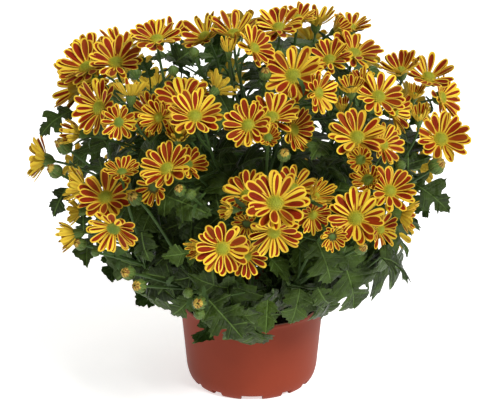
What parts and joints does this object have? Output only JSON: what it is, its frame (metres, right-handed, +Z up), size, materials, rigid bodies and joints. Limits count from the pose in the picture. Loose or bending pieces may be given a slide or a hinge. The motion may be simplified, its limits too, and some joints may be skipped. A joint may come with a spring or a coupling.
{
  "type": "pot chrysanthemum",
  "caption": "Round bushy pot chrysanthemum in full bloom, yellow petals striped red, lobed green leaves, in a low round terracotta-coloured plastic pot.",
  "frame": {"origin": "middle of the pot's foot, on the surface that the pot stands on", "axes": "+Z up, out of the pot; -Y towards the side of the plant that is seen first; +X to that viewer's right"},
  "size_m": [0.3716, 0.3911, 0.3483],
  "materials": {
    "pot": "terracotta-coloured plastic with a soft sheen",
    "soil": "dark crumbly potting compost",
    "green": "dull green leaves and stems",
    "petals": "yellow ray petals with a red stripe, round a yellow-green disc"
  },
  "bodies": {
    "root": {"pot": "pot", "soil": "soil", "cutting_1": "green", "cutting_2": "green", "cutting_3": "green", "cutting_4": "green", "cutting_5": "green", "bloom_01": "petals", "bloom_02": "petals", "bloom_03": "petals", "bloom_04": "petals", "bloom_05": "petals", "bloom_06": "petals", "bloom_07": "petals", "bloom_08": "petals", "bloom_09": "petals", "bloom_10": "petals", "bloom_11": "petals", "bloom_12": "petals", "bloom_13": "petals", "bloom_14": "petals", "bloom_15": "petals", "bloom_16": "petals", "bloom_17": "petals", "bloom_18": "petals", "bloom_19": "petals", "bloom_20": "petals", "bloom_21": "petals", "bloom_22": "petals", "bloom_23": "petals", "bloom_24": "petals", "bloom_25": "petals", "bloom_26": "petals", "bloom_27": "petals", "bloom_28": "petals", "bloom_29": "petals", "bloom_30": "petals", "bloom_31": "petals", "bloom_32": "petals", "bloom_33": "petals", "bloom_34": "petals", "bloom_35": "petals", "bloom_36": "petals", "bloom_37": "petals", "bloom_38": "petals", "bloom_39": "petals", "bloom_40": "petals", "bloom_41": "petals", "bloom_42": "petals", "bloom_43": "petals", "bloom_44": "petals", "bloom_45": "petals", "bloom_46": "petals", "bloom_47": "petals", "bloom_48": "petals", "bloom_49": "petals", "bloom_50": "petals", "bloom_51": "petals", "bloom_52": "petals", "bloom_53": "petals"}
  },
  "joints": []
}
